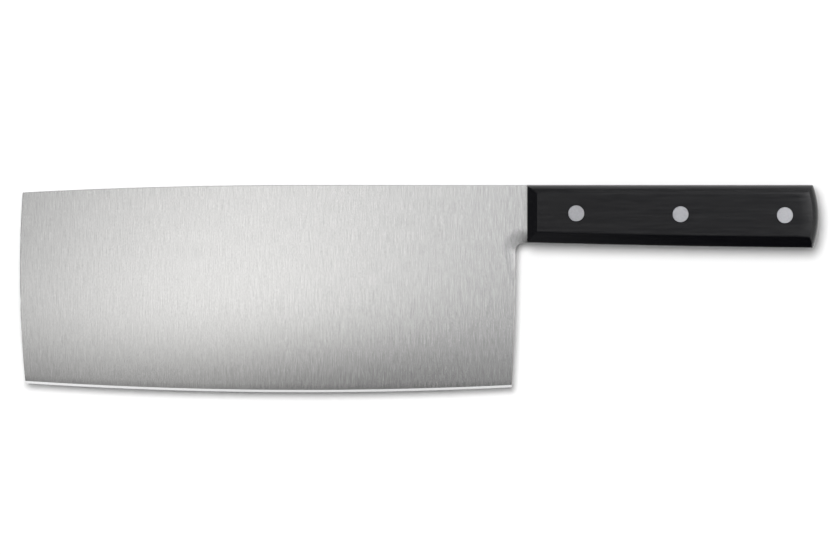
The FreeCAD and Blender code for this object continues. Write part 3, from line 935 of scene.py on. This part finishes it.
class CLEAVER_OT_stage(bpy.types.Operator):
    """Set the floor, the soft light and the camera above the knife"""
    bl_idname = "cleaver.make_stage"
    bl_label = "Make Stage"

    # Radius of the dome that is reflected, and how far below the table it ends
    DOME_RADIUS, DOME_END = 0.7, 0.02

    # The oval hot spot of the soft light: its middle, turn and half widths
    HOT_X, HOT_Y, HOT_TURN, HOT_LONG, HOT_WIDE = -0.087, -0.035, math.radians(-18.6), 0.098, 0.16

    def execute(self, context):
        scene = context.scene
        stage = scene.cleaver.stage
        scene.view_settings.view_transform = "Standard"
        self.make_floor(stage)
        self.make_world(scene, stage)
        self.make_key(stage)
        self.make_reflected_room(scene.cleaver.room)
        self.make_camera(scene, stage)
        return {"FINISHED"}

    def make_floor(self, stage):
        shape = bmesh.new()
        bmesh.ops.create_grid(shape, x_segments=1, y_segments=1, size=stage.floor_wide / 2)
        paper = Finish("floor_paper")
        fibre = paper.noise((900, 900, 900))
        tone = paper.shade(tuple(stage.floor), 1 + fibre * 0.01)
        white = paper.surface(base_color=tone, roughness=0.9, specular=0.0)
        floor = object_of(shape, "floor", white)

    def make_world(self, scene, stage):
        world = bpy.data.worlds.new("studio")
        world.use_nodes = True
        world.node_tree.nodes.clear()
        sky = Graph(world.node_tree)
        path = sky.add("ShaderNodeLightPath", {}, "Is Camera Ray")
        seen = path.at_least(path.output("Is Glossy Ray"))
        seen = seen.at_least(path.output("Is Transmission Ray"))
        light = sky.add("ShaderNodeBackground", {
            "Color": (1, 1, 1, 1), "Strength": stage.ambient + seen * (1 - stage.ambient)})
        sky.add("ShaderNodeOutputWorld", {"Surface": light})
        scene.world = world

    def make_key(self, stage):
        light = bpy.data.lights.new("key_softbox", "AREA")
        light.shape = "DISK"
        light.size = stage.key_wide
        light.energy = stage.key_power
        key = new_object("key_softbox", light, "camera", "glossy")
        key.location = stage.key_place
        key.rotation_euler = (-Vector(stage.key_place)).to_track_quat("-Z", "Y").to_euler()

    def make_reflected_room(self, lights):
        """A dome that only reflections see."""
        shape = bmesh.new()
        bmesh.ops.create_uvsphere(shape, u_segments=64, v_segments=32, radius=self.DOME_RADIUS)
        below = [corner for corner in shape.verts if corner.co.z < -self.DOME_END]
        bmesh.ops.delete(shape, geom=below, context="VERTS")
        dome = object_of(
            shape, "reflected_room", self.room_light(lights),
            "camera", "diffuse", "shadow", "transmission")

    def room_light(self, lights):
        """The dome's material: a broad soft light overhead with a hot spot, a side light beyond the
        butt, and a strip that the edge bevel reflects. Round them are grey walls, with dark cards
        before the nose and before the edge. Spans are metres on the dome."""
        room = Finish("reflected_room")
        x, y, z = room.parts(room.position)

        # The soft light ends in a blurred rim before the edge, further back on the right
        lift = x.smooth_rise(0.05, 0.11) * 0.068
        dim = y.smooth_fall(-0.115, -0.035) * x.smooth_rise(-0.11, -0.04)
        overhead = (y - x * 0.048 - lift).smooth_rise(-0.12, -0.024) * (1 - dim)
        past_x, past_y = x - self.HOT_X, y - self.HOT_Y
        cosine, sine = math.cos(self.HOT_TURN), math.sin(self.HOT_TURN)
        along = (past_x * cosine + past_y * sine) / self.HOT_LONG
        across = (past_y * cosine - past_x * sine) / self.HOT_WIDE
        hot_spot = room.reckon("EXPONENT", -(along.squared() + across.squared()))
        right = x.smooth_rise(-0.036, 0.205) * (1 - x.smooth_rise(0.2, 0.3) * 0.6)
        soft = lights.overhead + hot_spot * lights.hot_spot + right * lights.right
        soft *= x.smooth_rise(-0.55, -0.25) * (0.55 + z.smooth_rise(0.05, 0.35) * 0.45)
        side = x.band(0.22, 0.32, 0.42, 0.52) * y.smooth_rise(-0.04, 0.02) * lights.side
        heel_shade = x.smooth_rise(0.05, 0.12) * y.smooth_fall(0.0, 0.05) * lights.heel_shade
        light = lights.everywhere + overhead * (1 - heel_shade) * (soft + side)

        # The walls are lit where the soft light isn't
        at_nose = x.smooth_fall(-0.55, -0.35)
        nose_card = y.size().smooth_fall(0.12, 0.3)
        edge_card = y.smooth_fall(-0.5, -0.3) * x.band(0.0, 0.07, 0.25, 0.4)
        walls = z.smooth_fall(0.3, 0.5) * (1 - edge_card) * (1 - overhead) * (1 - at_nose)
        light += walls * lights.walls
        light += at_nose * (lights.nose_wall - nose_card * lights.nose_card)
        light += y.smooth_rise(0.15, 0.45) * lights.back_wall

        # Smaller lights before the edge and behind the spine
        strip = y.band(-0.38, -0.35, -0.3, -0.27) * z.smooth_rise(0.45, 0.55)
        light += strip * x.smooth_fall(0.1, 0.2) * lights.strip
        fill = y.smooth_rise(-0.24, -0.1) * (1 - overhead) * x.smooth_rise(0.03, 0.07)
        light += fill * lights.fill
        glow = y.band(0.02, 0.16, 0.3, 0.45) * x.smooth_rise(-0.08, 0.04)
        light += glow * lights.back_glow

        # Sockets 6 and 7 of a Mix node are its two colours, and output 2 is the mixed one
        tint = room.add("ShaderNodeMix", {
            0: hot_spot, 6: (*lights.cool, 1.0), 7: (*lights.warm, 1.0)}, 2, data_type="RGBA")
        return room.end(room.add("ShaderNodeEmission", {"Color": room.shade(tint, light)}))

    def make_camera(self, scene, stage):
        lens = bpy.data.cameras.new("photo_camera")
        lens.lens = lens.sensor_width * stage.camera_high / stage.view_wide
        camera = new_object("photo_camera", lens)
        camera.location = (stage.view_x, stage.view_y, NECK.z + stage.camera_high)
        scene.camera = camera


class CLEAVER_PT_panel(bpy.types.Panel):
    """Sizes of the cleaver, and the buttons that make it"""
    bl_idname = "CLEAVER_PT_panel"
    bl_label = "Chinese Cleaver"
    bl_space_type = "VIEW_3D"
    bl_region_type = "UI"
    bl_category = "Cleaver"

    def draw(self, context):
        settings = context.scene.cleaver
        for operator, *keys in (
                (CLEAVER_OT_blade, "blade"), (CLEAVER_OT_scales, "handle", "scales"),
                (CLEAVER_OT_rivets, "rivets", "finishes"), (CLEAVER_OT_stage, "stage", "room")):
            box = self.layout.box()
            for key in keys:
                group = getattr(settings, key)
                box.label(text=key.capitalize())
                for name in sizes_of(group):
                    box.prop(group, name)
            box.operator(operator.bl_idname)


CLASSES = (
    BladeSizes, HandleSizes, ScaleSizes, RivetSizes, Finishes, StageSettings, RoomLights,
    CleaverSettings, CLEAVER_OT_blade, CLEAVER_OT_scales, CLEAVER_OT_rivets, CLEAVER_OT_stage,
    CLEAVER_PT_panel)


def register():
    for cls in CLASSES:
        bpy.utils.register_class(cls)
    bpy.types.Scene.cleaver = bpy.props.PointerProperty(type=CleaverSettings)


def unregister():
    del bpy.types.Scene.cleaver
    for cls in reversed(CLASSES):
        bpy.utils.unregister_class(cls)


def main():
    register()
    bpy.ops.cleaver.make_blade()
    bpy.ops.cleaver.make_scales()
    bpy.ops.cleaver.make_rivets()
    bpy.ops.cleaver.make_stage()


if __name__ == "__main__":
    main()
